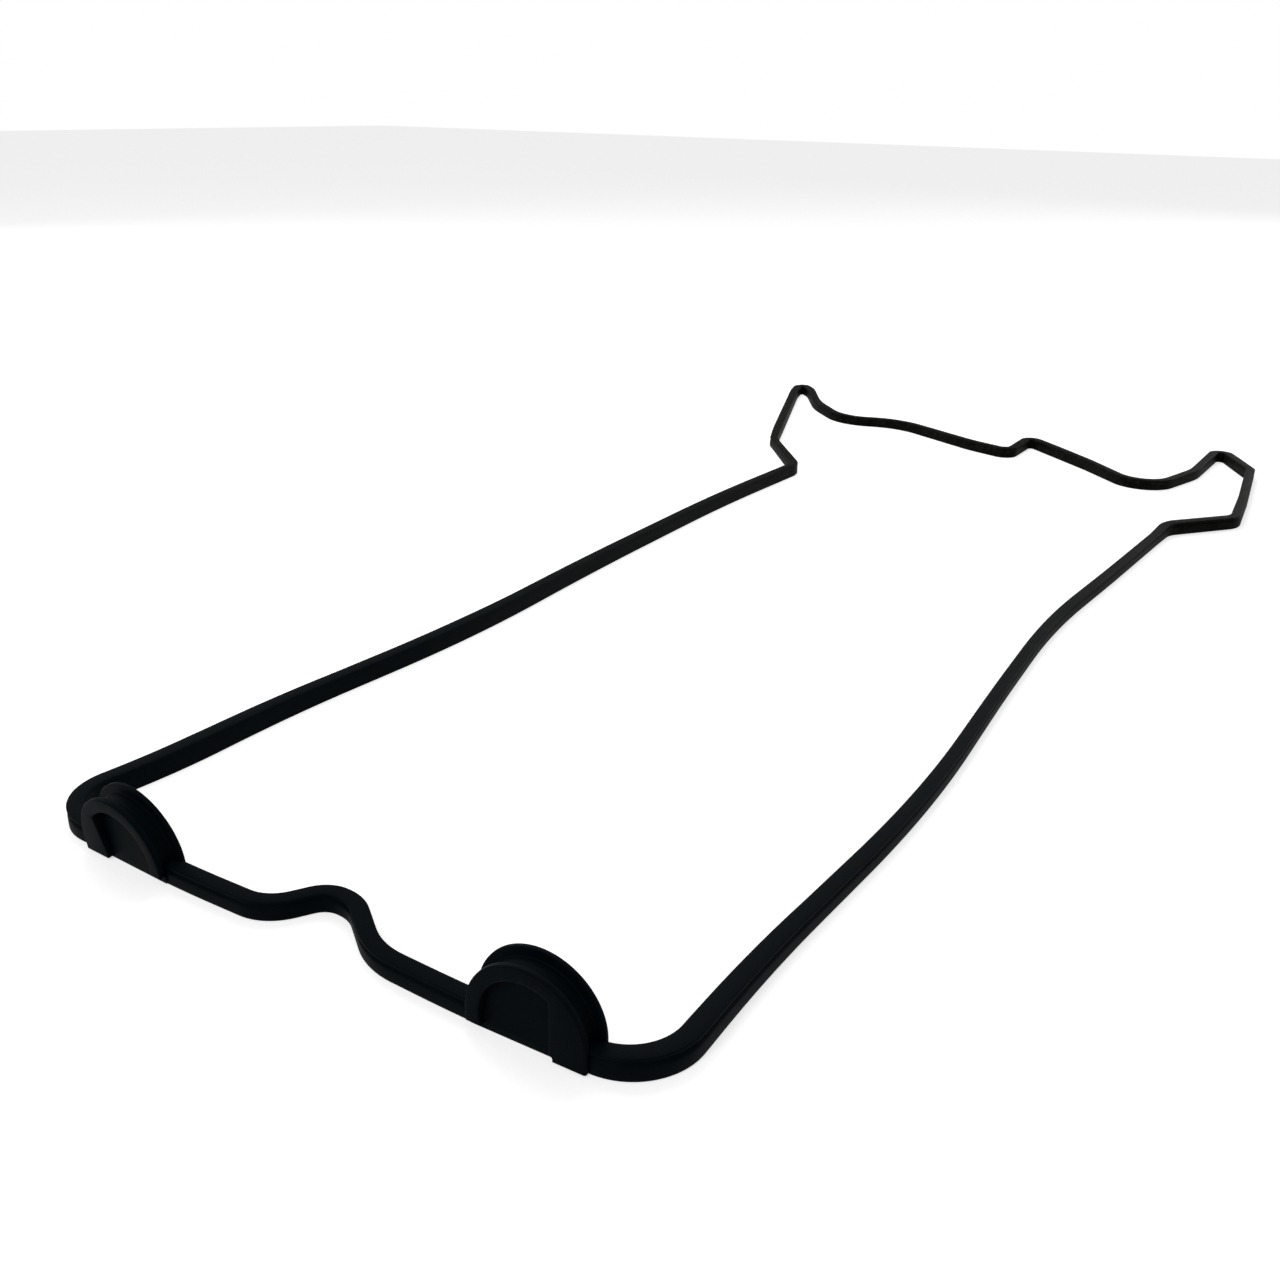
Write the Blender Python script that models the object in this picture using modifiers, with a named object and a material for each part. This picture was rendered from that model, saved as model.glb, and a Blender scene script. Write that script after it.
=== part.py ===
# Valve cover gasket for a straight-six engine with two camshafts.
# It is one moulding of black rubber: a long upright bead that closes on itself, and at the near end
# two half-moon plugs that fill the ends of the camshaft bores. It lies relaxed on a flat surface,
# head side up, so its long sides are a little wavy and its far end has spread.
# Units are metres, +Z is up, +Y runs from the plugs to the timing end. The origin is under the middle.

import math

import bmesh
import bpy
from mathutils import Vector

MM = 0.001

# Section of the bead
BEAD_WIDTH = 5.8 * MM
BEAD_HEIGHT = 7.2 * MM
BEAD_EDGE = 0.7 * MM
BEAD_SMALL_EDGE = 0.25 * MM
CROWN_RISE = 0.3 * MM
LIP_HEIGHT = 0.5 * MM
GROOVE_HEIGHT = 1.6 * MM
GROOVE_DEPTH = 0.45 * MM

# Body of the loop, measured between the middles of the bead
BODY_WIDTH = 229.0 * MM
LEFT_SIDE_LENGTH = 523.0 * MM
RIGHT_SIDE_LENGTH = 534.0 * MM
BODY_LENGTH = (LEFT_SIDE_LENGTH + RIGHT_SIDE_LENGTH) / 2
LEFT_CORNER_RADIUS = 21.5 * MM
RIGHT_CORNER_RADIUS = 15.7 * MM
CORNER_SPREAD = 2.0 * MM
NECK_INSET = 2.0 * MM

# Each half of the near end bows a little: where the bow is (across, inwards), its radius, and how
# the stretch with the plug leans from there to the corner
LEFT_BOW = (-50.0 * MM, -2.3 * MM)
RIGHT_BOW = (60.0 * MM, 1.0 * MM)
BOW_RADIUS = 600.0 * MM
LEFT_PLUG_TILT = math.radians(-1.0)
RIGHT_PLUG_TILT = math.radians(2.6)

# Jog of the near end between the plugs, which clears a bolt boss
JOG_MIDDLE = 0.2 * MM
JOG_DEPTH = 15.4 * MM
JOG_TOP_WIDTH = 11.6 * MM
JOG_LEFT_RUN = 9.7 * MM
JOG_RIGHT_RUN = 19.1 * MM
JOG_LEFT_FOOT = -0.7 * MM
JOG_RIGHT_FOOT = 1.3 * MM
JOG_RADIUS = 12.5 * MM

# Waves of the relaxed long sides: share of the side's length, and the distance outwards
LEFT_WAVES = ((0.08, -3.3 * MM), (0.187, -2.1 * MM), (0.378, -9.0 * MM), (0.571, -2.9 * MM), (0.827, 0.4 * MM))
RIGHT_WAVES = ((0.104, 0.0), (0.31, 4.1 * MM), (0.499, -4.4 * MM), (0.66, -10.3 * MM), (0.812, -5.2 * MM))
WAVE_RADIUS = 2500.0 * MM

# Far end round the timing case. A station beside the body is (out from its side, on from its neck,
# radius), and one across the end is (across from the middle, on from the neck, radius).
NECK_RADIUS = 4.5 * MM
RIGHT_SHOULDER = (29.5 * MM, 37.1 * MM, 7.4 * MM)
RIGHT_FLANK = (25.4 * MM, 84.1 * MM, 90.0 * MM)
RIGHT_EAR_HEEL = (16.9 * MM, 153.2 * MM, 5.2 * MM)
RIGHT_EAR_TIP = (-9.5 * MM, 193.9 * MM, 5.1 * MM)
RIGHT_EAR_ROOT = (-12.2 * MM, 131.6 * MM, 40.0 * MM)
RIGHT_DIP = (-28.4 * MM, 72.6 * MM, 30.0 * MM)
MIDDLE_RISE = (40.3 * MM, 118.1 * MM, 90.0 * MM)
MIDDLE_PEAK = (-11.5 * MM, 157.7 * MM, 4.7 * MM)
MIDDLE_STEP = (-11.6 * MM, 114.3 * MM, 6.7 * MM)
LEFT_SPAN = (-41.3 * MM, 122.4 * MM, 90.0 * MM)
LEFT_BROW = (-106.7 * MM, 151.8 * MM, 90.0 * MM)
LEFT_DIP = (-144.9 * MM, 135.8 * MM, 50.0 * MM)
LEFT_EAR_ROOT = (66.4 * MM, 174.5 * MM, 90.0 * MM)
LEFT_EAR_TIP = (103.7 * MM, 226.7 * MM, 5.0 * MM)
LEFT_EAR_HEEL = (102.0 * MM, 207.6 * MM, 5.0 * MM)
LEFT_FLANK = (46.1 * MM, 71.4 * MM, 90.0 * MM)
LEFT_SHOULDER = (37.9 * MM, 54.7 * MM, 4.0 * MM)

# Half-moon plugs, which grip the edge of the head between two flanges. The left one leans forward.
PLUG_SPACING = 152.2 * MM
PLUG_SHIFT = 4.4 * MM
PLUG_AXIS_HEIGHT = 6.6 * MM
LEFT_PLUG_LEAN = math.radians(6.4)
RIGHT_PLUG_LEAN = 0.0
SEAT_RADIUS = 16.8 * MM
FRONT_FLANGE_RADIUS = 18.5 * MM
REAR_FLANGE_RADIUS = 19.8 * MM
FRONT_FLANGE_PROUD = 1.8 * MM
FRONT_FLANGE_THICKNESS = 2.0 * MM
SEAT_LENGTH = 5.4 * MM
REAR_FLANGE_THICKNESS = 1.6 * MM
FLANGE_EDGE = 0.35 * MM
REAR_FLANGE_LIFT = 0.2 * MM
SEAT_LIFT = 2.6 * MM

# Pocket in each plug's front face, with a wide leg on the corner side. Its floor slopes out to be
# flush with the bead at the bottom. A leg is (its side of the pocket at the foot, and at the arch),
# and a foot is (where it starts, how high it ends, how high the leg on the other side ends).
POCKET_RADIUS = 14.0 * MM
POCKET_TOP_DEPTH = 4.0 * MM
POCKET_FOOT_DEPTH = 1.86 * MM
POCKET_SILL = 2.0 * MM
LEFT_LEG = (7.2 * MM, 10.3 * MM)
RIGHT_LEG = (7.5 * MM, 7.5 * MM)
LEFT_FOOT = (7.6 * MM, 1.4 * MM, 3.7 * MM)
RIGHT_FOOT = (8.7 * MM, 0.9 * MM, 2.4 * MM)

# Fineness of the round stretches
BEND_STEP = math.radians(13.0)
LONGEST_STEP = 14.0 * MM
PLUG_ARC_STEPS = 28
EDGE_STEPS = 2


def clear_scene():
    for old in list(bpy.data.objects):
        bpy.data.objects.remove(old, do_unlink=True)


def new_collection(name):
    group = bpy.data.collections.new(name)
    bpy.context.scene.collection.children.link(group)
    return group


def rubber():
    material = bpy.data.materials.new("black_rubber")
    material.use_nodes = True
    shader = material.node_tree.nodes["Principled BSDF"]
    shader.inputs["Base Color"].default_value = (0.012, 0.014, 0.015, 1.0)
    shader.inputs["Roughness"].default_value = 0.55
    shader.inputs["Metallic"].default_value = 0.0
    return material


# Route of the bead

def plug_tilt(side):
    return LEFT_PLUG_TILT if side < 0 else RIGHT_PLUG_TILT


def near_line(side, x):
    """Where the near end's line lies at x, between the bow and the corner on one side."""
    bow_x, bow_y = LEFT_BOW if side < 0 else RIGHT_BOW
    return bow_y + (x - bow_x) * math.tan(plug_tilt(side))


def side_stations(side, waves, length):
    """Stations along one long side, from the near corner to the neck."""
    corner_x = side * (BODY_WIDTH / 2 + CORNER_SPREAD)
    corner_y = near_line(side, corner_x)
    radius = LEFT_CORNER_RADIUS if side < 0 else RIGHT_CORNER_RADIUS
    stations = [(corner_x, corner_y, radius)]
    for share, out in waves:
        stations.append((side * (BODY_WIDTH / 2 + out), corner_y + share * (length - corner_y), WAVE_RADIUS))
    return stations


def beside(side, length, place):
    """A station of the far end that is placed from the body's side and its neck."""
    out, onward, radius = place
    return (side * (BODY_WIDTH / 2 + out), length + onward, radius)


def across(place):
    """A station of the far end that is placed from the body's middle."""
    x, onward, radius = place
    return (x, BODY_LENGTH + onward, radius)


def near_stations():
    """The bows of the near end and the jog between them, from left to right."""
    top = JOG_TOP_WIDTH / 2
    return [
        LEFT_BOW + (BOW_RADIUS,),
        (JOG_MIDDLE - top - JOG_LEFT_RUN, JOG_LEFT_FOOT, JOG_RADIUS),
        (JOG_MIDDLE - top, JOG_DEPTH, JOG_RADIUS),
        (JOG_MIDDLE + top, JOG_DEPTH, JOG_RADIUS),
        (JOG_MIDDLE + top + JOG_RIGHT_RUN, JOG_RIGHT_FOOT, JOG_RADIUS),
        RIGHT_BOW + (BOW_RADIUS,),
    ]


def route_stations():
    """Corners of the bead's middle line as (x, y, radius), once round against the clock."""
    half = BODY_WIDTH / 2
    stations = near_stations()
    stations += side_stations(1, RIGHT_WAVES, RIGHT_SIDE_LENGTH)
    stations.append((half, RIGHT_SIDE_LENGTH, NECK_RADIUS))
    for place in (RIGHT_SHOULDER, RIGHT_FLANK, RIGHT_EAR_HEEL, RIGHT_EAR_TIP, RIGHT_EAR_ROOT, RIGHT_DIP):
        stations.append(beside(1, RIGHT_SIDE_LENGTH, place))
    for place in (MIDDLE_RISE, MIDDLE_PEAK, MIDDLE_STEP, LEFT_SPAN, LEFT_BROW, LEFT_DIP):
        stations.append(across(place))
    for place in (LEFT_EAR_ROOT, LEFT_EAR_TIP, LEFT_EAR_HEEL, LEFT_FLANK, LEFT_SHOULDER):
        stations.append(beside(-1, LEFT_SIDE_LENGTH, place))
    stations.append((-half + NECK_INSET, LEFT_SIDE_LENGTH, NECK_RADIUS))
    stations += reversed(side_stations(-1, LEFT_WAVES, LEFT_SIDE_LENGTH))
    return stations


def rounded(stations):
    """Points of a closed line whose corners are rounded by arcs that touch both sides."""
    points = []
    count = len(stations)
    for index, (x, y, radius) in enumerate(stations):
        corner = Vector((x, y))
        before = Vector(stations[index - 1][:2]) - corner
        after = Vector(stations[(index + 1) % count][:2]) - corner
        opening = before.angle(after)
        reach = radius / math.tan(opening / 2)
        reach = min(reach, 0.48 * before.length, 0.48 * after.length)
        start = corner + before.normalized() * reach
        end = corner + after.normalized() * reach
        to_middle = (before.normalized() + after.normalized()).normalized()
        middle = corner + to_middle * (reach / math.cos(opening / 2))
        steps = max(1, math.ceil((math.pi - opening) / BEND_STEP), math.ceil(2 * reach / LONGEST_STEP))
        turn = (start - middle).angle_signed(end - middle)
        for step in range(steps + 1):
            angle = -turn * step / steps
            arm = start - middle
            points.append(middle + Vector((
                arm.x * math.cos(angle) - arm.y * math.sin(angle),
                arm.x * math.sin(angle) + arm.y * math.cos(angle),
            )))
    return points


# Bead

def bead_outline():
    """Section of the bead as (outwards, up): a crowned lip over a shallow groove, and an upright foot."""
    half = BEAD_WIDTH / 2
    crown_foot = BEAD_HEIGHT - CROWN_RISE
    lip_low = crown_foot - LIP_HEIGHT
    shoulder = lip_low - GROOVE_HEIGHT
    floor = half - GROOVE_DEPTH
    return [
        (-half + BEAD_SMALL_EDGE, 0.0),
        (half - BEAD_EDGE, 0.0),
        (half, BEAD_EDGE),
        (half, shoulder - BEAD_SMALL_EDGE),
        (half - BEAD_SMALL_EDGE, shoulder),
        (floor, shoulder + BEAD_SMALL_EDGE),
        (floor, lip_low),
        (half, lip_low),
        (half, crown_foot - BEAD_SMALL_EDGE),
        (half - BEAD_SMALL_EDGE, crown_foot),
        (0.0, BEAD_HEIGHT),
        (-half + BEAD_EDGE, crown_foot),
        (-half, crown_foot - BEAD_EDGE),
        (-half, BEAD_SMALL_EDGE),
    ]


def closed_curve(name, points, dimensions):
    data = bpy.data.curves.new(name, "CURVE")
    data.dimensions = dimensions
    spline = data.splines.new("POLY")
    spline.points.add(len(points) - 1)
    for point, place in zip(spline.points, points):
        point.co = (place[0], place[1], 0.0, 1.0)
    spline.use_cyclic_u = True
    return data


def mesh_from_curve(curve_object, collection):
    """A mesh object that takes a curve object's place and name."""
    bpy.context.view_layer.update()
    graph = bpy.context.evaluated_depsgraph_get()
    mesh = bpy.data.meshes.new_from_object(curve_object.evaluated_get(graph))
    body = bmesh.new()
    body.from_mesh(mesh)
    bmesh.ops.remove_doubles(body, verts=body.verts, dist=0.00001)
    bmesh.ops.recalc_face_normals(body, faces=body.faces)
    body.to_mesh(mesh)
    body.free()
    name = curve_object.name
    place = curve_object.matrix_world.copy()
    bpy.data.objects.remove(curve_object, do_unlink=True)
    solid = bpy.data.objects.new(name, mesh)
    solid.matrix_world = place
    collection.objects.link(solid)
    return solid


def sweep_bead(parts, tools):
    outline = bpy.data.objects.new("bead_section", closed_curve("bead_section", bead_outline(), "2D"))
    tools.objects.link(outline)
    route = closed_curve("valve_cover_gasket", rounded(route_stations()), "3D")
    route.twist_mode = "Z_UP"
    route.bevel_mode = "OBJECT"
    route.bevel_object = outline
    bead = bpy.data.objects.new("valve_cover_gasket", route)
    parts.objects.link(bead)
    solid = mesh_from_curve(bead, parts)
    bpy.data.objects.remove(outline, do_unlink=True)
    return solid


# Half-moon plugs

def half_moon(radius, lift):
    """Outline (across, up) of an upright half moon with short straight legs down to the table."""
    points = [(radius, lift)]
    for step in range(PLUG_ARC_STEPS + 1):
        angle = math.pi * step / PLUG_ARC_STEPS
        points.append((radius * math.cos(angle), PLUG_AXIS_HEIGHT + radius * math.sin(angle)))
    points.append((-radius, lift))
    return points


def front_flange_outline(leg_side):
    """A half moon whose inner leg ends above the sill, while the wide outer leg goes on to the table."""
    start, lift, inner_end = LEFT_FOOT if leg_side < 0 else RIGHT_FOOT
    arch = [(leg_side * x, up) for x, up in half_moon(FRONT_FLANGE_RADIUS, lift)[:-1]]
    return arch + [(arch[-1][0], inner_end), (leg_side * start, inner_end), (leg_side * start, lift)]


def pocket_outline(leg_side):
    """Outline of the pocket: a half moon cut off by the wide leg and by the sill."""
    leg_foot, leg_top = LEFT_LEG if leg_side < 0 else RIGHT_LEG
    cut = math.acos(leg_top / POCKET_RADIUS)
    points = [(leg_side * leg_foot, POCKET_SILL)]
    for step in range(PLUG_ARC_STEPS // 2 + 1):
        angle = cut + (math.pi - cut) * step / (PLUG_ARC_STEPS // 2)
        points.append((
            leg_side * POCKET_RADIUS * math.cos(angle),
            PLUG_AXIS_HEIGHT + POCKET_RADIUS * math.sin(angle),
        ))
    points.append((-leg_side * POCKET_RADIUS, POCKET_SILL))
    return points


def upright_plate(name, outline, front, back, side, tools):
    """A plate on edge at one plug, from front to back of the near end's line, shown as a wire guide."""
    data = closed_curve(name, outline, "2D")
    data.fill_mode = "BOTH"
    data.extrude = (back - front) / 2
    plate = bpy.data.objects.new(name, data)
    depth = (front + back) / 2
    tilt = plug_tilt(side)
    lean = LEFT_PLUG_LEAN if side < 0 else RIGHT_PLUG_LEAN
    middle = PLUG_SHIFT + side * PLUG_SPACING / 2
    plate.rotation_euler = (math.pi / 2 + lean, 0.0, tilt)
    plate.location = (
        middle - depth * math.cos(lean) * math.sin(tilt),
        near_line(side, middle) + depth * math.cos(lean) * math.cos(tilt),
        depth * math.sin(lean),
    )
    tools.objects.link(plate)
    solid = mesh_from_curve(plate, tools)
    solid.hide_render = True
    solid.display_type = "WIRE"
    return solid


def slope_floor(pocket):
    """Slopes the back of the pocket's cutter, which is deep at the arch and shallow at the sill."""
    rise = PLUG_AXIS_HEIGHT + POCKET_RADIUS - POCKET_SILL
    slope = (POCKET_TOP_DEPTH - POCKET_FOOT_DEPTH) / rise
    for vert in pocket.data.vertices:
        if vert.co.z < 0:
            vert.co.z += (POCKET_SILL + rise - vert.co.y) * slope


def soften(plate):
    bevel = plate.modifiers.new("edge", "BEVEL")
    bevel.width = FLANGE_EDGE
    bevel.segments = EDGE_STEPS
    bevel.limit_method = "ANGLE"
    bevel.angle_limit = math.radians(50.0)


def combine(body, tool, operation):
    boolean = body.modifiers.new(tool.name, "BOOLEAN")
    boolean.operation = operation
    boolean.solver = "EXACT"
    boolean.object = tool


def add_plug(gasket, side, tools):
    """Flanges, seat and pocket of one plug. Its wide leg is on the corner side."""
    label = "left" if side < 0 else "right"
    front = -BEAD_WIDTH / 2 - FRONT_FLANGE_PROUD
    seat = front + FRONT_FLANGE_THICKNESS
    rear = seat + SEAT_LENGTH
    back = rear + REAR_FLANGE_THICKNESS
    ahead = front - FRONT_FLANGE_PROUD
    front_flange = upright_plate(
        label + "_front_flange", front_flange_outline(side), front, seat, side, tools)
    seat_body = upright_plate(
        label + "_seat", half_moon(SEAT_RADIUS, SEAT_LIFT), (front + seat) / 2, (rear + back) / 2, side, tools)
    rear_flange = upright_plate(
        label + "_rear_flange", half_moon(REAR_FLANGE_RADIUS, REAR_FLANGE_LIFT), rear, back, side, tools)
    pocket = upright_plate(
        label + "_pocket", pocket_outline(side), ahead, front + POCKET_TOP_DEPTH, side, tools)
    slope_floor(pocket)
    soften(front_flange)
    soften(rear_flange)
    for plate in (seat_body, front_flange, rear_flange):
        combine(gasket, plate, "UNION")
    combine(gasket, pocket, "DIFFERENCE")


def centre_on_origin(gasket):
    """Places the gasket with the middle of its box over the origin and its foot on the table."""
    bpy.context.view_layer.update()
    graph = bpy.context.evaluated_depsgraph_get()
    corners = [Vector(corner) for corner in gasket.evaluated_get(graph).bound_box]
    low = Vector([min(corner[axis] for corner in corners) for axis in range(3)])
    high = Vector([max(corner[axis] for corner in corners) for axis in range(3)])
    return Vector((-(low.x + high.x) / 2, -(low.y + high.y) / 2, -low.z))


def build():
    clear_scene()
    parts = new_collection("valve_cover_gasket")
    tools = new_collection("cutters")
    gasket = sweep_bead(parts, tools)
    gasket.data.materials.append(rubber())
    for side in (-1, 1):
        add_plug(gasket, side, tools)
    shift = centre_on_origin(gasket)
    for item in list(parts.objects) + list(tools.objects):
        item.location += shift
    gasket.data.shade_smooth()
    gasket.data.set_sharp_from_angle(angle=math.radians(35.0))


build()
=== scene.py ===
import math

import bpy
from mathutils import Matrix, Vector


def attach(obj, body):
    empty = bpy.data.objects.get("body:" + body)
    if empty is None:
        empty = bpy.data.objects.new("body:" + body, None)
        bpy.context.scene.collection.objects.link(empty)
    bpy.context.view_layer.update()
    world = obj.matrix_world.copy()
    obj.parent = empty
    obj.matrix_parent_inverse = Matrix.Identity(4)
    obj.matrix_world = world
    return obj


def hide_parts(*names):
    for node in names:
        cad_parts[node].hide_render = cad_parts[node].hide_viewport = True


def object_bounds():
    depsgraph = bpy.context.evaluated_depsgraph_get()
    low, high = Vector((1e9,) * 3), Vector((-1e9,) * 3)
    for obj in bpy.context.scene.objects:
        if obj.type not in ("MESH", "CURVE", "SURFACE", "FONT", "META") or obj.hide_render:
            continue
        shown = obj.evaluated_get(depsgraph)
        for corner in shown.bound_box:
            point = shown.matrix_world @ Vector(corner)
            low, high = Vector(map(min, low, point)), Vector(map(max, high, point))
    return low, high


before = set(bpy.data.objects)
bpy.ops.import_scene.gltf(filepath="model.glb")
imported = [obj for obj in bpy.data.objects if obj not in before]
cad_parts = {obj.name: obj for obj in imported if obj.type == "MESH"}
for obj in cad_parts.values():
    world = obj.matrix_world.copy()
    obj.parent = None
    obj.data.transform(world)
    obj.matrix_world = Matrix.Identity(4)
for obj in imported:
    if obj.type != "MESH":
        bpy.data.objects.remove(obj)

cad_low, cad_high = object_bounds()
MM = 0.001


# The sealing bead. It is an endless cord of black rubber, pressed in a mould in one with the plugs.
# Its crown is the side that seals on the head. Under the crown's outer lip runs a shallow groove, and
# the rest is a plain foot that is pushed into the cover's slot.

BEAD_WIDTH = 5.8 * MM
BEAD_HEIGHT = 7.2 * MM
CROWN_FOOT = 6.9 * MM
LIP_LOW = 6.3 * MM
SHOULDER = 4.6 * MM
GROOVE_DEPTH = 0.9 * MM

# Body of the loop, as it lies relaxed, and the bows of its near end
SIDE_X = 114.5 * MM
LEFT_SIDE_LENGTH = 523.0 * MM
RIGHT_SIDE_LENGTH = 534.0 * MM
MIDDLE_LENGTH = (LEFT_SIDE_LENGTH + RIGHT_SIDE_LENGTH) / 2
CORNER_SPREAD = 2.0 * MM
LEFT_BOW = (-50.0 * MM, -2.3 * MM)
RIGHT_BOW = (60.0 * MM, 1.0 * MM)
LEFT_PLUG_TILT = math.radians(-1.0)
RIGHT_PLUG_TILT = math.radians(2.6)

# Radii of the corners at the bows and along the sides, past what fits, so that the arcs meet halfway
BOW_ROUNDING = 0.6
WAVE_ROUNDING = 2.5


def near_line(side, x):
    """Where the near end's line lies at x, between the bow and the corner on one side."""
    bow_x, bow_y = LEFT_BOW if side < 0 else RIGHT_BOW
    return bow_y + (x - bow_x) * math.tan(LEFT_PLUG_TILT if side < 0 else RIGHT_PLUG_TILT)


def long_side(side, corner_radius, waves, length):
    """A near corner and the waves of its side: a share of the way on, and millimetres outwards."""
    corner_x = side * (SIDE_X + CORNER_SPREAD)
    corner_y = near_line(side, corner_x)
    wavy = [
        (side * (SIDE_X + out * MM), corner_y + share * (length - corner_y), WAVE_ROUNDING)
        for share, out in waves
    ]
    return [(corner_x, corner_y, corner_radius)] + wavy


def stations(rows, middle_x, side, length):
    """Corners of the far end: millimetres across from middle_x and on from the neck, and a radius."""
    return [(middle_x + side * out * MM, length + on * MM, radius * MM) for out, on, radius in rows]


near_end = [
    LEFT_BOW + (BOW_ROUNDING,),
    (-15.3 * MM, -0.7 * MM, 15.0 * MM),
    (-5.6 * MM, 15.4 * MM, 12.5 * MM),
    (5.5 * MM, 15.4 * MM, 16.0 * MM),
    (25.4 * MM, 1.4 * MM, 28.0 * MM),
    RIGHT_BOW + (BOW_ROUNDING,),
]
right_side = long_side(1, 18.5 * MM, (
    (0.104, 0.0), (0.31, 4.1), (0.499, -4.4), (0.66, -10.3), (0.812, -5.2)), RIGHT_SIDE_LENGTH)
left_side = long_side(-1, 21.5 * MM, (
    (0.08, -3.3), (0.187, -2.1), (0.378, -9.0), (0.571, -2.9), (0.827, 0.4)), LEFT_SIDE_LENGTH)
right_head = stations((
    (0.0, 0.0, 18.0), (29.5, 37.1, 14.0), (25.4, 84.1, 90.0), (17.4, 153.2, 7.0), (-10.8, 202.4, 5.0),
    (-12.2, 131.6, 55.0), (-28.4, 72.6, 30.0)), SIDE_X, 1, RIGHT_SIDE_LENGTH)
middle_head = stations((
    (40.3, 118.1, 90.0), (-11.5, 157.7, 4.7), (-11.6, 114.3, 6.7), (-41.3, 122.4, 90.0),
    (-106.7, 151.8, 90.0), (-144.9, 135.8, 50.0)), 0.0, 1, MIDDLE_LENGTH)
left_head = stations((
    (66.4, 174.5, 90.0), (90.1, 211.8, 60.0), (100.2, 220.8, 6.0), (103.3, 214.8, 6.0),
    (98.5, 198.8, 40.0), (47.5, 71.0, 90.0), (40.0, 53.4, 7.0), (-3.5, 0.0, 20.0)),
    -SIDE_X, -1, LEFT_SIDE_LENGTH)
route = near_end + right_side + right_head + middle_head + left_head + left_side[::-1]

# Millimetres round the loop from the left bow, and how full the section is there: the bead is fuller
# at the near corners and the left side, and a little thinner on the right side and at the far end
FULLNESS = (
    (0, 0.94), (160, 0.96), (205, 1.12), (270, 0.98), (440, 0.88), (695, 0.86), (722, 1.04),
    (800, 0.97), (900, 0.98), (1010, 0.86), (1120, 0.96), (1310, 0.87), (1420, 1.0), (1570, 1.0),
    (1612, 0.88), (1680, 1.0), (1860, 1.03), (2000, 1.09), (2070, 1.06), (2140, 1.14),
    (2185, 1.08), (2225, 0.94))


def rounded(corners, bend_step, longest_step):
    """Points of a closed line whose corners are rounded by arcs that touch both sides."""
    points = []
    for index, (x, y, radius) in enumerate(corners):
        corner = Vector((x, y))
        before = Vector(corners[index - 1][:2]) - corner
        after = Vector(corners[(index + 1) % len(corners)][:2]) - corner
        opening = before.angle(after)
        reach = min(radius / math.tan(opening / 2), 0.48 * before.length, 0.48 * after.length)
        start = corner + before.normalized() * reach
        end = corner + after.normalized() * reach
        towards = (before.normalized() + after.normalized()).normalized()
        middle = corner + towards * (reach / math.cos(opening / 2))
        steps = max(1, math.ceil((math.pi - opening) / bend_step), math.ceil(2 * reach / longest_step))
        turn = (start - middle).angle_signed(end - middle)
        for step in range(steps + 1):
            arm = Matrix.Rotation(-turn * step / steps, 2) @ (start - middle)
            points.append(middle + arm)
    return points


def evenly(points, longest_step):
    """The same closed line with its long straight stretches divided."""
    spaced = []
    for here, there in zip(points, points[1:] + points[:1]):
        parts = max(1, math.ceil((there - here).length / longest_step))
        spaced += [here.lerp(there, part / parts) for part in range(parts)]
    return spaced


def fullness_at(way):
    """How full the bead is at one distance round the loop."""
    for (near, low), (far, high) in zip(FULLNESS, FULLNESS[1:]):
        if way <= far:
            return low + (high - low) * (way - near) / (far - near)
    return FULLNESS[-1][1]


def closed_line(name, points, varied=False):
    """A closed curve, whose points carry the bead's fullness where it is varied."""
    line = bpy.data.curves.new(name, "CURVE")
    line.dimensions = "2D"
    spline = line.splines.new("POLY")
    spline.points.add(len(points) - 1)
    way = 0.0
    for index, (spot, place) in enumerate(zip(spline.points, points)):
        way += (place - points[index - 1]).length / MM if index else 0.0
        spot.co = (place[0], place[1], 0.0, 1.0)
        spot.radius = fullness_at(way) if varied else 1.0
    spline.use_cyclic_u = True
    thing = bpy.data.objects.new(name, line)
    bpy.context.collection.objects.link(thing)
    return thing


half = BEAD_WIDTH / 2
section = closed_line("bead_section", rounded([
    (-half, 0.0, 0.3 * MM), (half, 0.0, 0.75 * MM), (half, SHOULDER - 0.2 * MM, 0.9 * MM),
    (half - GROOVE_DEPTH, SHOULDER + 0.5 * MM, 0.8 * MM),
    (half - GROOVE_DEPTH, LIP_LOW - 0.15 * MM, 0.3 * MM), (half, LIP_LOW, 0.15 * MM),
    (half, CROWN_FOOT, 0.4 * MM), (0.0, BEAD_HEIGHT, 14.0 * MM), (-half, CROWN_FOOT, 0.8 * MM)],
    bend_step=math.radians(24), longest_step=2.0 * MM))
bpy.ops.object.select_all(action="DESELECT")
loop = evenly(rounded(route, bend_step=math.radians(4), longest_step=4.0 * MM), longest_step=5.0 * MM)
gasket = closed_line("gasket_rubber", loop, varied=True)
gasket.data.dimensions = "3D"
gasket.data.twist_mode = "Z_UP"
gasket.data.bevel_mode = "OBJECT"
gasket.data.bevel_object = section
gasket.select_set(True)
bpy.context.view_layer.objects.active = gasket
bpy.ops.object.convert(target="MESH")
bpy.data.objects.remove(section, do_unlink=True)
bpy.ops.object.mode_set(mode="EDIT")
bpy.ops.mesh.select_all(action="SELECT")
bpy.ops.mesh.normals_make_consistent(inside=False)
bpy.ops.object.mode_set(mode="OBJECT")


# The two half-moon plugs at the near end. Each is moulded in one with the bead and closes the cut end
# of a camshaft bore: the bore's edge sits on the seat between a front and a rear flange. The front
# face has a pocket, with a wide leg beside it towards the corner. The left plug leans forward.

PLUG_MIDDLES = (-71.7 * MM, 80.5 * MM)
PLUG_LEANS = (math.radians(6.4), 0.0)
AXIS_HEIGHT = 6.6 * MM
SEAT_RADIUS = 16.8 * MM
FRONT_RADIUS = 18.5 * MM
REAR_RADIUS = 19.8 * MM
FRONT_FACE = -half - 1.8 * MM
FRONT_BACK = FRONT_FACE + 2.0 * MM
REAR_FACE = FRONT_BACK + 5.4 * MM
REAR_BACK = REAR_FACE + 1.6 * MM

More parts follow.
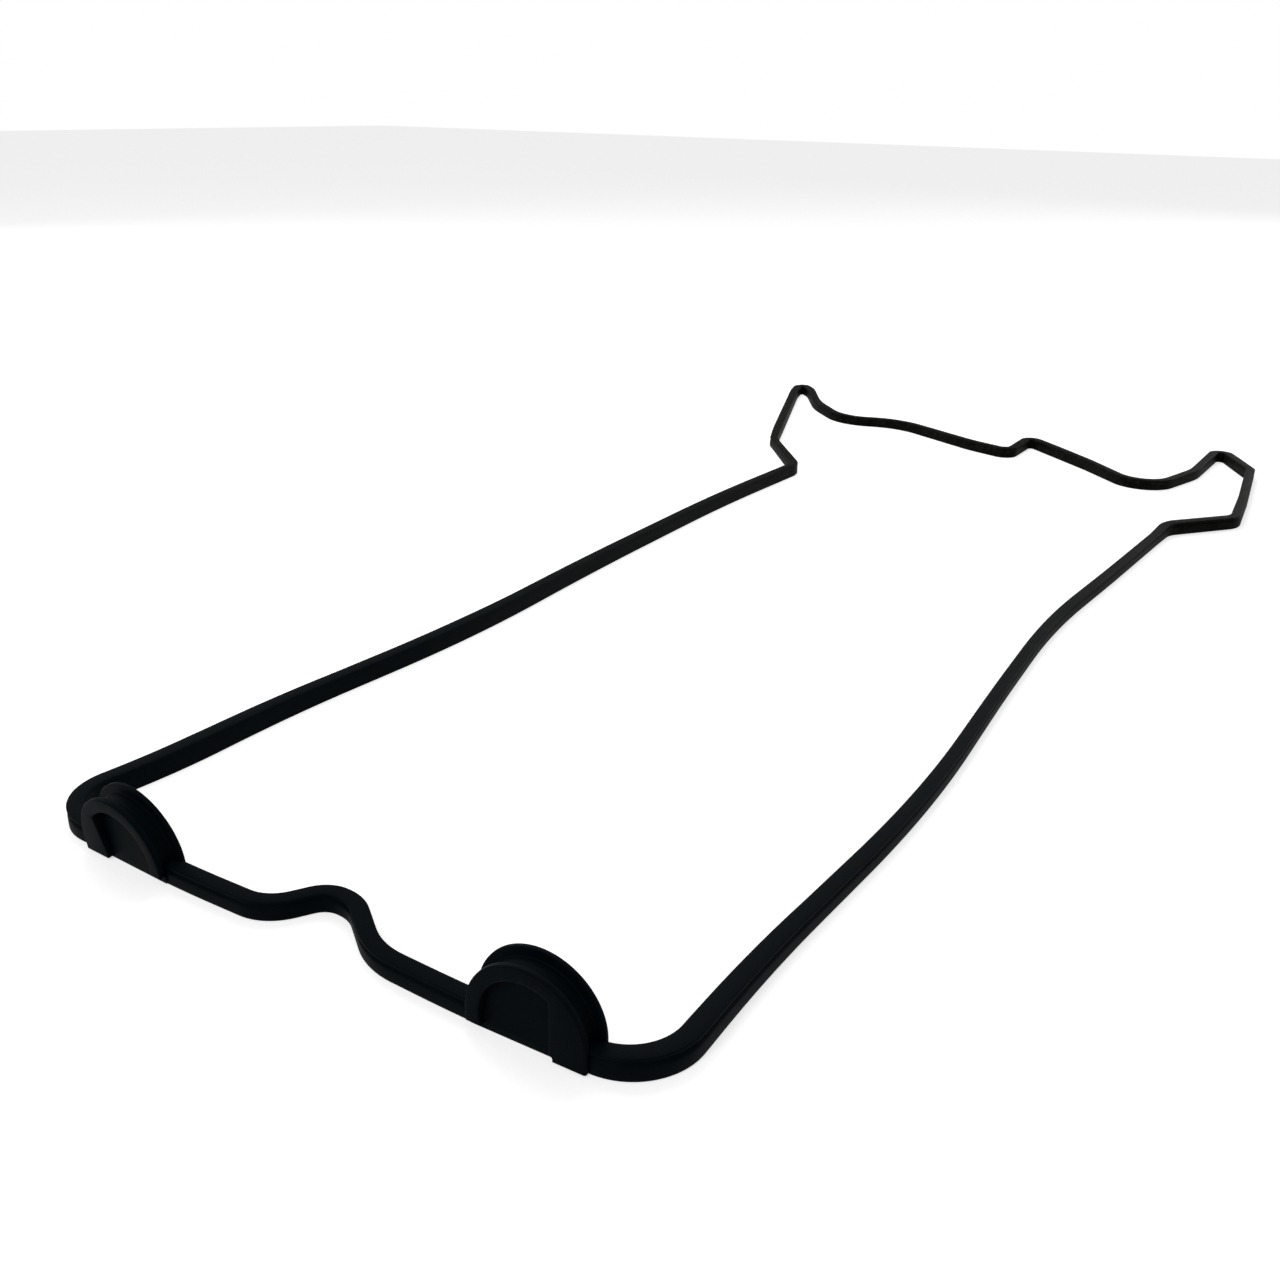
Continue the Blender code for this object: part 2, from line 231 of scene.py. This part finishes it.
# Of each plug, left then right: how high its legs end, where the front foot starts, how high that
# foot ends, and how high the front leg on the other side ends
LEG_ENDS = (0.6 * MM, 0.2 * MM)
FOOT_STARTS = (7.6 * MM, 8.7 * MM)
FOOT_ENDS = (1.4 * MM, 0.9 * MM)
INNER_ENDS = (3.7 * MM, 2.4 * MM)

# The pocket, whose side along the wide leg goes from one place at the sill to another at the arch
POCKET_RADIUS = 14.0 * MM
POCKET_FOOT_DEPTH = 1.86 * MM
POCKET_TOP_DEPTH = 4.0 * MM
SILL = 2.0 * MM
FLARE = 0.5 * MM
FLARE_STEPS = 4
POCKET_HALF = 10.0 * MM
LEG_SIDES = ((7.2 * MM, 10.3 * MM), (7.5 * MM, 7.5 * MM))


def open_rounded(corners, steps):
    """A line through corners (x, y, radius) whose inner corners are rounded."""
    line = []
    for index, (x, y, radius) in enumerate(corners):
        if radius == 0.0:
            line.append(Vector((x, y)))
            continue
        corner = Vector((x, y))
        before = (Vector(corners[index - 1][:2]) - corner).normalized()
        after = (Vector(corners[index + 1][:2]) - corner).normalized()
        opening = before.angle(after)
        start = corner + before * radius / math.tan(opening / 2)
        middle = corner + (before + after).normalized() * radius / math.sin(opening / 2)
        turn = (start - middle).angle_signed(corner + after * (start - corner).length - middle)
        for step in range(steps + 1):
            line.append(middle + Matrix.Rotation(-turn * step / steps, 2) @ (start - middle))
    return line


def spun_plug(name, leg_end):
    """Half a turn of the plug's profile (depth, radius) about its axis, with straight legs below."""
    profile = open_rounded([
        (FRONT_FACE, 0.0, 0.0), (FRONT_FACE, FRONT_RADIUS, 0.6 * MM),
        (FRONT_BACK, FRONT_RADIUS, 0.45 * MM), (FRONT_BACK, SEAT_RADIUS, 0.5 * MM),
        (REAR_FACE, SEAT_RADIUS, 0.6 * MM), (REAR_FACE, REAR_RADIUS, 0.4 * MM),
        (REAR_BACK, REAR_RADIUS, 0.55 * MM), (REAR_BACK, 0.0, 0.0)], steps=4)
    bpy.ops.object.select_all(action="DESELECT")
    bpy.ops.mesh.primitive_plane_add(size=MM, location=(0, 0, 0))
    plug = bpy.context.object
    plug.name = name
    bpy.ops.object.mode_set(mode="EDIT")
    bpy.ops.mesh.merge(type="CENTER")
    bpy.ops.transform.translate(value=(profile[0].y, profile[0].x, AXIS_HEIGHT))
    for here, there in zip(profile, profile[1:]):
        bpy.ops.mesh.extrude_vertices_move(
            TRANSFORM_OT_translate={"value": (there.y - here.y, there.x - here.x, 0.0)})
    bpy.ops.mesh.select_all(action="SELECT")
    bpy.ops.mesh.spin(steps=72, angle=math.pi, center=(0, 0, AXIS_HEIGHT), axis=(0, 1, 0))
    bpy.ops.mesh.select_all(action="SELECT")
    bpy.ops.mesh.remove_doubles(threshold=0.00001)
    bpy.ops.mesh.select_all(action="DESELECT")
    bpy.ops.mesh.select_non_manifold()
    bpy.ops.mesh.extrude_edges_move(TRANSFORM_OT_translate={"value": (0, 0, leg_end - AXIS_HEIGHT)})
    bpy.ops.mesh.edge_face_add()
    bpy.ops.mesh.select_all(action="SELECT")
    bpy.ops.mesh.normals_make_consistent(inside=False)
    bpy.ops.object.mode_set(mode="OBJECT")
    return plug


def block(name, low, high):
    """A block between two corners, which is only cut away from a plug."""
    bpy.ops.object.select_all(action="DESELECT")
    size = Vector(high) - Vector(low)
    bpy.ops.mesh.primitive_cube_add(size=1.0, location=(Vector(low) + Vector(high)) / 2, scale=size)
    made = bpy.context.object
    made.name = name
    bpy.ops.object.transform_apply(location=True, rotation=True, scale=True)
    return made


def foot_gaps(side, start, foot_end, inner_end):
    """What the front flange lacks at the table: an L upside down, with a rounded inner corner."""
    reach = FRONT_RADIUS + MM
    low = block("foot_gap", (-reach, FRONT_FACE - MM, -MM), (reach, FRONT_BACK, foot_end))
    inner = sorted((side * start, -side * reach))
    high = block(
        "inner_gap", (inner[0], FRONT_FACE - MM, -MM), (inner[1], FRONT_BACK - 0.01 * MM, inner_end))
    bpy.ops.object.mode_set(mode="EDIT")
    bpy.ops.mesh.select_all(action="DESELECT")
    bpy.ops.object.mode_set(mode="OBJECT")
    for edge in high.data.edges:
        ends = [high.data.vertices[vert].co for vert in edge.vertices]
        at_foot = all(abs(co.x - side * start) < 0.1 * MM for co in ends)
        edge.select = at_foot and all(abs(co.z - inner_end) < 0.1 * MM for co in ends)
    bpy.ops.object.mode_set(mode="EDIT")
    bpy.ops.mesh.select_mode(type="EDGE")
    bpy.ops.mesh.bevel(offset=0.8 * MM, segments=4, affect="EDGES")
    bpy.ops.mesh.select_mode(type="VERT")
    bpy.ops.object.mode_set(mode="OBJECT")
    return low, high


def pocket_core(name, side, leg_side):
    """The solid that leaves the pocket: a cut half moon with a sloping floor and a flared mouth."""
    foot, top = leg_side
    base = FRONT_FACE + POCKET_FOOT_DEPTH
    arch_top = AXIS_HEIGHT + POCKET_RADIUS
    bpy.ops.object.select_all(action="DESELECT")
    bpy.ops.mesh.primitive_circle_add(
        vertices=128, radius=POCKET_RADIUS, fill_type="NGON",
        location=(0, base, AXIS_HEIGHT), rotation=(math.pi / 2, 0, 0))
    core = bpy.context.object
    core.name = name
    bpy.ops.object.transform_apply(location=True, rotation=True, scale=True)
    bpy.ops.object.mode_set(mode="EDIT")
    bpy.ops.mesh.select_all(action="SELECT")
    leg_rise = AXIS_HEIGHT + math.sqrt(POCKET_RADIUS ** 2 - top ** 2) - SILL
    across_leg = Vector((side * leg_rise, 0, foot - top)).normalized()
    bpy.ops.mesh.bisect(plane_co=(side * foot, 0, SILL), plane_no=across_leg, clear_outer=True)
    bpy.ops.mesh.select_all(action="SELECT")
    bpy.ops.mesh.bisect(plane_co=(0, 0, SILL), plane_no=(0, 0, -1), clear_outer=True)
    bpy.ops.mesh.select_all(action="SELECT")
    bpy.ops.transform.rotate(
        value=math.atan((POCKET_TOP_DEPTH - POCKET_FOOT_DEPTH) / (arch_top - SILL)), orient_axis="X",
        center_override=(0, base, SILL))
    bpy.ops.mesh.extrude_region_move(TRANSFORM_OT_translate={"value": (0, -MM, 0)})
    bpy.ops.transform.resize(value=(1, 0, 1), center_override=(0, FRONT_FACE + FLARE, 0))
    middle = (-side * 3.5 * MM, 0, 9.5 * MM)
    for step in range(1, FLARE_STEPS + 1):
        angle = step / FLARE_STEPS * math.pi / 2
        before = (step - 1) / FLARE_STEPS * math.pi / 2
        bpy.ops.mesh.extrude_region_move(TRANSFORM_OT_translate={
            "value": (0, -FLARE * (math.sin(angle) - math.sin(before)), 0)})
        grown = 1 + (math.cos(before) - math.cos(angle)) * FLARE / POCKET_HALF
        bpy.ops.transform.resize(value=(grown, 1, grown), center_override=middle)
    bpy.ops.mesh.extrude_region_move(TRANSFORM_OT_translate={"value": (0, -1.5 * MM, 0)})
    bpy.ops.mesh.select_all(action="SELECT")
    bpy.ops.mesh.normals_make_consistent(inside=False)
    bpy.ops.object.mode_set(mode="OBJECT")
    return core


def set_in_line(thing, side):
    """Leans a piece of the plug, turns it with the near end and moves it there."""
    which = 0 if side < 0 else 1
    tilt = LEFT_PLUG_TILT if side < 0 else RIGHT_PLUG_TILT
    turn = Matrix.Rotation(tilt, 4, "Z") @ Matrix.Rotation(PLUG_LEANS[which], 4, "X")
    place = Matrix.Translation((PLUG_MIDDLES[which], near_line(side, PLUG_MIDDLES[which]), 0.0))
    thing.data.transform(place @ turn)


def combine(body, tool, operation):
    """Joins the tool to the body or cuts it away, and then drops the tool."""
    bpy.ops.object.select_all(action="DESELECT")
    body.select_set(True)
    bpy.context.view_layer.objects.active = body
    join = body.modifiers.new("join", "BOOLEAN")
    join.operation = operation
    join.solver = "MANIFOLD"
    join.object = tool
    bpy.ops.object.modifier_apply(modifier=join.name)
    bpy.data.objects.remove(tool, do_unlink=True)


for side in (-1, 1):
    which = 0 if side < 0 else 1
    plug = spun_plug("plug", LEG_ENDS[which])
    for gap in foot_gaps(side, FOOT_STARTS[which], FOOT_ENDS[which], INNER_ENDS[which]):
        combine(plug, gap, "DIFFERENCE")
    set_in_line(plug, side)
    combine(gasket, plug, "UNION")
    core = pocket_core("pocket_core", side, LEG_SIDES[which])
    set_in_line(core, side)
    combine(gasket, core, "DIFFERENCE")

# Everything is drawn from the near end's middle, so the whole moulding is moved over the CAD box
corners = [vert.co for vert in gasket.data.vertices]
low = Vector([min(co[axis] for co in corners) for axis in range(3)])
high = Vector([max(co[axis] for co in corners) for axis in range(3)])
shift = (cad_low + cad_high) / 2 - (low + high) / 2
shift.z = cad_low.z - low.z
gasket.data.transform(Matrix.Translation(shift))
bpy.ops.object.select_all(action="DESELECT")
gasket.select_set(True)
bpy.context.view_layer.objects.active = gasket
bpy.ops.object.shade_smooth_by_angle(angle=math.radians(32))
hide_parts("valve_cover_gasket")
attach(gasket, "root")


# The rubber: dense black nitrile with a satin moulded skin, a fine grain and faint mould flow. Its
# colour is a little lighter and greyer towards the timing end, where pale streaks along the bead are
# painted highlights, and it is duller on top of its left half.

def socket(group, name, kind, direction, value=None):
    """One named input or output of a node group."""
    made = group.interface.new_socket(name=name, in_out=direction, socket_type=kind)
    if value is not None:
        made.default_value = value
    return made


grain = bpy.data.node_groups.new("rubber_grain", "ShaderNodeTree")
socket(grain, "Scale", "NodeSocketFloat", "INPUT", 1.0)
socket(grain, "Height", "NodeSocketFloat", "OUTPUT")
socket(grain, "Mottle", "NodeSocketFloat", "OUTPUT")
nodes, links = grain.nodes, grain.links
entry = nodes.new("NodeGroupInput")
leave = nodes.new("NodeGroupOutput")
where = nodes.new("ShaderNodeTexCoord")
sized = nodes.new("ShaderNodeVectorMath")
sized.operation = "SCALE"
links.new(where.outputs["Object"], sized.inputs[0])
links.new(entry.outputs["Scale"], sized.inputs["Scale"])
fine = nodes.new("ShaderNodeTexNoise")
fine.inputs["Scale"].default_value = 2600.0
fine.inputs["Detail"].default_value = 3.0
flow = nodes.new("ShaderNodeTexNoise")
flow.inputs["Scale"].default_value = 160.0
flow.inputs["Detail"].default_value = 4.0
flow.inputs["Roughness"].default_value = 0.6
for noise in (fine, flow):
    links.new(sized.outputs["Vector"], noise.inputs["Vector"])
height = nodes.new("ShaderNodeMath")
height.operation = "MULTIPLY_ADD"
height.inputs[1].default_value = 0.35
links.new(fine.outputs["Fac"], height.inputs[0])
links.new(flow.outputs["Fac"], height.inputs[2])
links.new(height.outputs["Value"], leave.inputs["Height"])
links.new(flow.outputs["Fac"], leave.inputs["Mottle"])

rubber = bpy.data.materials.new("black_rubber")
rubber.use_nodes = True
nodes, links = rubber.node_tree.nodes, rubber.node_tree.links
shader = nodes["Principled BSDF"]
shader.inputs["Specular IOR Level"].default_value = 0.02
skin = nodes.new("ShaderNodeGroup")
skin.node_tree = grain
tint = nodes.new("ShaderNodeValToRGB")
tint.color_ramp.elements[0].position = 0.3
tint.color_ramp.elements[0].color = (0.0003, 0.0013, 0.0021, 1.0)
tint.color_ramp.elements[1].position = 0.75
tint.color_ramp.elements[1].color = (0.0011, 0.0033, 0.0046, 1.0)
links.new(skin.outputs["Mottle"], tint.inputs["Fac"])
# The colour towards the far end: lighter and greyer than near the plugs.
far_tone = nodes.new("ShaderNodeValToRGB")
far_tone.color_ramp.elements[0].position = 0.36
far_tone.color_ramp.elements[0].color = (0.0012, 0.0014, 0.0011, 1.0)
far_tone.color_ramp.elements[1].position = 0.66
far_tone.color_ramp.elements[1].color = (0.0062, 0.0064, 0.0053, 1.0)
links.new(skin.outputs["Mottle"], far_tone.inputs["Fac"])
place = nodes.new("ShaderNodeTexCoord")
parted = nodes.new("ShaderNodeSeparateXYZ")
links.new(place.outputs["Object"], parted.inputs["Vector"])
towards_far = nodes.new("ShaderNodeMapRange")
towards_far.interpolation_type = "SMOOTHSTEP"
towards_far.inputs["From Min"].default_value = -0.25
towards_far.inputs["From Max"].default_value = 0.25
links.new(parted.outputs["Y"], towards_far.inputs["Value"])
faces_up = nodes.new("ShaderNodeSeparateXYZ")
links.new(place.outputs["Normal"], faces_up.inputs["Vector"])
on_top = nodes.new("ShaderNodeMapRange")
on_top.inputs["From Min"].default_value = 0.7
on_top.inputs["From Max"].default_value = 0.95
links.new(faces_up.outputs["Z"], on_top.inputs["Value"])
duller = nodes.new("ShaderNodeMapRange")
duller.interpolation_type = "SMOOTHSTEP"
duller.inputs["From Min"].default_value = 0.06
duller.inputs["From Max"].default_value = 0.135
duller.inputs["To Min"].default_value = 0.18
duller.inputs["To Max"].default_value = 0.0
links.new(parted.outputs["X"], duller.inputs["Value"])
colour = nodes.new("ShaderNodeMix")
colour.data_type = "RGBA"
links.new(towards_far.outputs["Result"], colour.inputs["Factor"])
links.new(tint.outputs["Color"], colour.inputs["A"])
links.new(far_tone.outputs["Color"], colour.inputs["B"])
# Painted highlights: pale streaks stretched along the bead, only towards the far end, stand in for
# glints on its edges.
drawn = nodes.new("ShaderNodeMapping")
drawn.inputs["Scale"].default_value = (420.0, 45.0, 420.0)
links.new(place.outputs["Object"], drawn.inputs["Vector"])
streak = nodes.new("ShaderNodeTexNoise")
streak.inputs["Scale"].default_value = 1.0
streak.inputs["Detail"].default_value = 3.0
links.new(drawn.outputs["Vector"], streak.inputs["Vector"])
painted_highlight_streaks = nodes.new("ShaderNodeMapRange")
painted_highlight_streaks.inputs["From Min"].default_value = 0.52
painted_highlight_streaks.inputs["From Max"].default_value = 0.70
painted_highlight_streaks.inputs["To Max"].default_value = 0.7
links.new(streak.outputs["Fac"], painted_highlight_streaks.inputs["Value"])
far_painted_highlights = nodes.new("ShaderNodeMath")
far_painted_highlights.operation = "MULTIPLY"
links.new(painted_highlight_streaks.outputs["Result"], far_painted_highlights.inputs[0])
links.new(towards_far.outputs["Result"], far_painted_highlights.inputs[1])
with_painted_highlights = nodes.new("ShaderNodeMix")
with_painted_highlights.data_type = "RGBA"
with_painted_highlights.inputs["B"].default_value = (0.0150, 0.0150, 0.0128, 1.0)
links.new(far_painted_highlights.outputs["Value"], with_painted_highlights.inputs["Factor"])
links.new(colour.outputs["Result"], with_painted_highlights.inputs["A"])
links.new(with_painted_highlights.outputs["Result"], shader.inputs["Base Color"])
satin = nodes.new("ShaderNodeMapRange")
satin.inputs["To Min"].default_value = 0.45
satin.inputs["To Max"].default_value = 0.66
links.new(skin.outputs["Mottle"], satin.inputs["Value"])
rougher = nodes.new("ShaderNodeMath")
rougher.operation = "MULTIPLY_ADD"
links.new(on_top.outputs["Result"], rougher.inputs[0])
links.new(duller.outputs["Result"], rougher.inputs[1])
links.new(satin.outputs["Result"], rougher.inputs[2])
links.new(rougher.outputs["Value"], shader.inputs["Roughness"])
bump = nodes.new("ShaderNodeBump")
bump.inputs["Strength"].default_value = 0.35
bump.inputs["Distance"].default_value = 0.00006
links.new(skin.outputs["Height"], bump.inputs["Height"])
links.new(bump.outputs["Normal"], shader.inputs["Normal"])
gasket.data.materials.clear()
gasket.data.materials.append(rubber)


# The camera stands where the photograph was taken from, low over the near right corner. Its place is
# measured from the near end's middle, as the loop's is.

CAMERA_PLACE = Vector((244.37, -205.42, 222.86)) * MM
CAMERA_HEADING = math.radians(32.88)
CAMERA_PITCH = math.radians(22.94)
CAMERA_ROLL = math.radians(1.03)
FOCAL_PIXELS = 1293.62
IMAGE_PIXELS = 1280
bpy.ops.object.camera_add()
camera = bpy.context.object
ahead = Vector((-math.sin(CAMERA_HEADING) * math.cos(CAMERA_PITCH),
                math.cos(CAMERA_HEADING) * math.cos(CAMERA_PITCH), -math.sin(CAMERA_PITCH)))
level = Vector((math.cos(CAMERA_HEADING), math.sin(CAMERA_HEADING), 0.0))
upright = level.cross(ahead)
right = level * math.cos(CAMERA_ROLL) + upright * math.sin(CAMERA_ROLL)
over = upright * math.cos(CAMERA_ROLL) - level * math.sin(CAMERA_ROLL)
turned = Matrix((right, over, -ahead)).transposed().to_4x4()
camera.matrix_world = Matrix.Translation(CAMERA_PLACE + shift) @ turned
camera.data.sensor_width = 36.0
camera.data.lens = 36.0 * FOCAL_PIXELS / IMAGE_PIXELS
camera.data.clip_start = 0.01
bpy.context.scene.camera = camera


# The floor is a white sheet. A glow that only the camera and what is glossy see lifts it to white round
# the gasket, and to a very light grey far behind it. It keeps a soft shadow under the rubber.

bpy.ops.mesh.primitive_plane_add(size=12.0, location=(0, 0, cad_low.z))
floor = bpy.context.object
floor.name = "floor"


def seen_by(nodes, links, kinds):
    """A value that is 1 for the named kinds of ray and 0 for the rest."""
    path = nodes.new("ShaderNodeLightPath")
    seen = path.outputs[kinds[0]]
    for kind in kinds[1:]:
        either = nodes.new("ShaderNodeMath")
        either.operation = "MAXIMUM"
        links.new(seen, either.inputs[0])
        links.new(path.outputs[kind], either.inputs[1])
        seen = either.outputs["Value"]
    return seen


paper = bpy.data.materials.new("white_floor")
paper.use_nodes = True
nodes, links = paper.node_tree.nodes, paper.node_tree.links
nodes.remove(nodes["Principled BSDF"])
matt = nodes.new("ShaderNodeBsdfDiffuse")
matt.inputs["Color"].default_value = (0.8, 0.8, 0.8, 1.0)
glow = nodes.new("ShaderNodeEmission")
glow.inputs["Color"].default_value = (1.0, 1.0, 1.0, 1.0)
strength = nodes.new("ShaderNodeMath")
strength.operation = "MULTIPLY"
strength.inputs[1].default_value = 0.62
links.new(seen_by(nodes, links, ("Is Camera Ray", "Is Glossy Ray")), strength.inputs[0])
links.new(strength.outputs["Value"], glow.inputs["Strength"])
both = nodes.new("ShaderNodeAddShader")
links.new(matt.outputs["BSDF"], both.inputs[0])
links.new(glow.outputs["Emission"], both.inputs[1])
links.new(both.outputs["Shader"], nodes["Material Output"].inputs["Surface"])
floor.data.materials.append(paper)


# Plain studio light: a white surround, a wide soft box overhead, and smaller ones from the front, from
# the left and from behind.

world = bpy.context.scene.world or bpy.data.worlds.new("surround")
bpy.context.scene.world = world
world.use_nodes = True
nodes, links = world.node_tree.nodes, world.node_tree.links
air = nodes["Background"]
air.inputs["Color"].default_value = (1.0, 1.0, 1.0, 1.0)
seen = seen_by(nodes, links, ("Is Camera Ray", "Is Glossy Ray", "Is Transmission Ray"))
surround_strength = nodes.new("ShaderNodeMapRange")
surround_strength.inputs["To Min"].default_value = 0.3
surround_strength.inputs["To Max"].default_value = 1.0
links.new(seen, surround_strength.inputs["Value"])
links.new(surround_strength.outputs["Result"], air.inputs["Strength"])


def soft_box(name, place, aim, size, watts):
    """A rectangular lamp that points at aim and isn't seen itself."""
    bpy.ops.object.light_add(type="AREA", location=place)
    lamp = bpy.context.object
    lamp.name = name
    lamp.data.shape = "RECTANGLE"
    lamp.data.size, lamp.data.size_y = size
    lamp.data.energy = watts
    lamp.rotation_euler = (Vector(aim) - Vector(place)).to_track_quat("-Z", "Y").to_euler()
    lamp.visible_camera = False


soft_box("overhead", (-0.5, 0.5, 1.3), (0, 0, 0), (1.0, 0.8), 7.0)
soft_box("front", (0.0, -1.6, 1.1), (0, -0.3, 0), (0.5, 0.35), 7.0)
soft_box("left", (-1.7, 0.2, 0.75), (0, -0.2, 0), (0.7, 0.45), 5.5)
soft_box("back", (0.6, 2.3, 0.85), (0.1, 0, 0), (0.7, 0.5), 7.0)

bpy.context.scene.view_settings.view_transform = "Standard"
